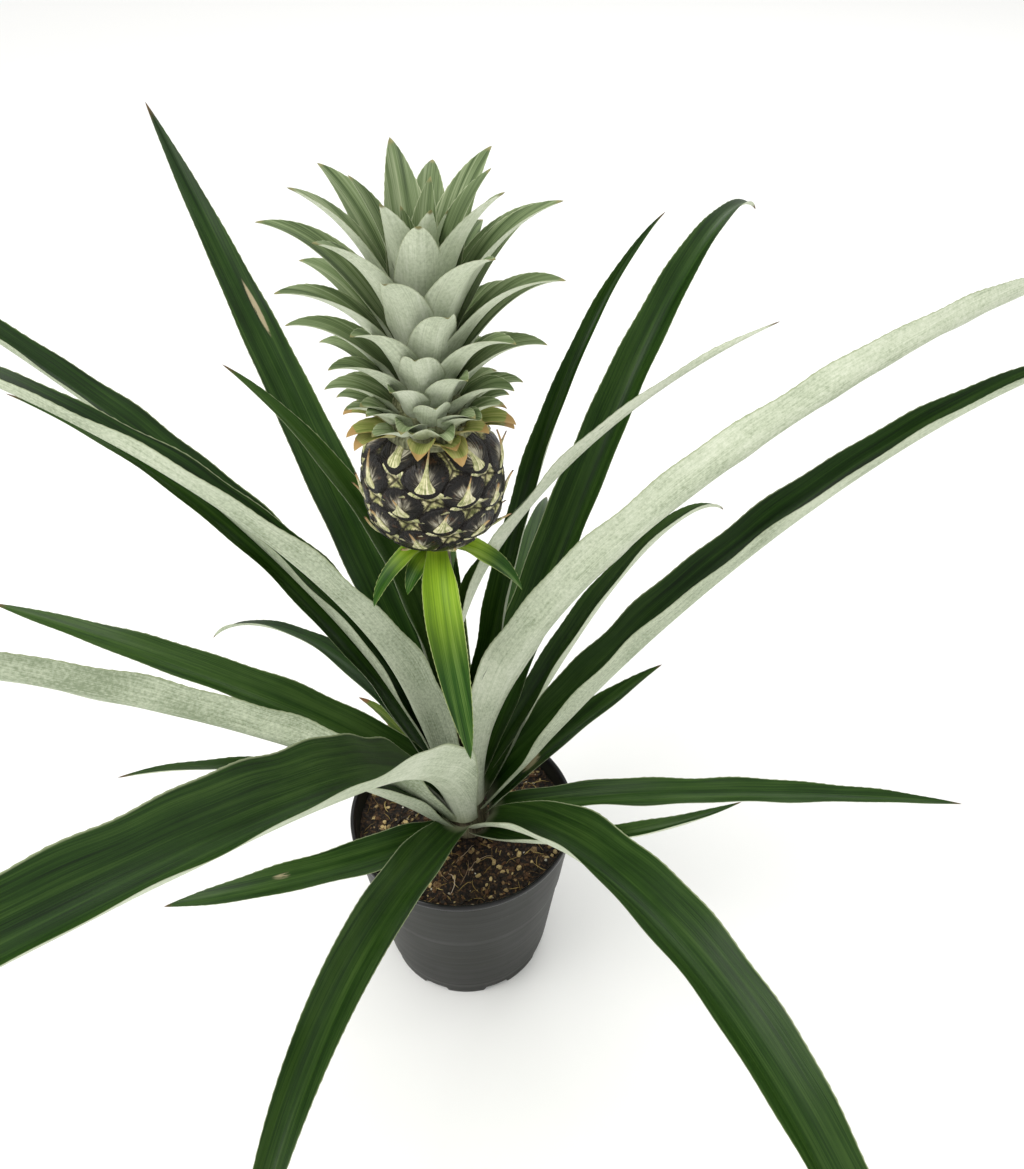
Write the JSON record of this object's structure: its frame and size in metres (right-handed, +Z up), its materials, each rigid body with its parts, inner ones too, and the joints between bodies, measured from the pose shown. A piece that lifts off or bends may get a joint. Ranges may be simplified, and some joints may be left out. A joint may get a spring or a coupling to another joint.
{
  "type": "potted pineapple plant",
  "caption": "Pineapple plant in a tapered nursery pot, with arching sword-shaped leaves, a small fruit on a stalk and a leafy crown.",
  "frame": {"origin": "centre of the pot's flat base, on the surface that the pot stands on", "axes": "+Z up along the pot's axis; -Y towards the plant's front; +X to the right when it is seen from the front"},
  "size_m": [0.6011, 0.5504, 0.4526],
  "materials": {
    "pot_plastic": "charcoal-grey moulded nursery plastic, matte with a faint sheen",
    "peat": "dark brown peat with ochre fibres, bark and perlite",
    "stem_bark": "pale grey-green to brownish stem",
    "leaf_green": "waxy dark green upper face, pale silvery grey-green scurfy under face",
    "leaf_yellowing": "yellowing olive leaf with a brown edge",
    "bract_lime": "bright yellow-green, softly glossy",
    "fruit_skin": "dark brown eyes with pale mottled middles and cream-green tissue between them",
    "crown_green": "silvery grey-green with fine pale speckle"
  },
  "bodies": {
    "root": {"bract_front": "bract_lime", "bract_left": "bract_lime", "bract_right": "bract_lime", "bract_small_front": "bract_lime", "crown_leaf_01": "crown_green", "crown_leaf_02": "crown_green", "crown_leaf_03": "crown_green", "crown_leaf_04": "crown_green", "crown_leaf_05": "crown_green", "crown_leaf_06": "crown_green", "crown_leaf_07": "crown_green", "crown_leaf_08": "crown_green", "crown_leaf_09": "crown_green", "crown_leaf_10": "crown_green", "crown_leaf_11": "crown_green", "crown_leaf_12": "crown_green", "crown_leaf_13": "crown_green", "crown_leaf_14": "crown_green", "crown_leaf_15": "crown_green", "crown_leaf_16": "crown_green", "crown_leaf_17": "crown_green", "crown_leaf_18": "crown_green", "crown_leaf_19": "crown_green", "crown_leaf_20": "crown_green", "crown_stem": "crown_green", "fruit": "fruit_skin", "leaf_arching_left": "leaf_green", "leaf_arching_right": "leaf_green", "leaf_back": "leaf_green", "leaf_back_low": "leaf_green", "leaf_back_right_low": "leaf_green", "leaf_behind_left": "leaf_green", "leaf_broad_back_right": "leaf_green", "leaf_broad_front_left": "leaf_green", "leaf_curled_left": "leaf_green", "leaf_front_left": "leaf_green", "leaf_front_right": "leaf_green", "leaf_high_left": "leaf_green", "leaf_inner_right": "leaf_green", "leaf_long_left": "leaf_green", "leaf_long_right": "leaf_green", "leaf_low_left": "leaf_green", "leaf_low_right": "leaf_green", "leaf_mid_left": "leaf_green", "leaf_on_stalk": "leaf_green", "leaf_short_back_left": "leaf_green", "leaf_short_left": "leaf_green", "leaf_slim_back": "leaf_green", "leaf_small_low_right": "leaf_green", "leaf_tall_back_left": "leaf_green", "leaf_under_right": "leaf_green", "leaf_yellowing_left": "leaf_yellowing", "pot": "pot_plastic", "soil": "peat", "stem_and_stalk": "stem_bark"}
  },
  "joints": []
}
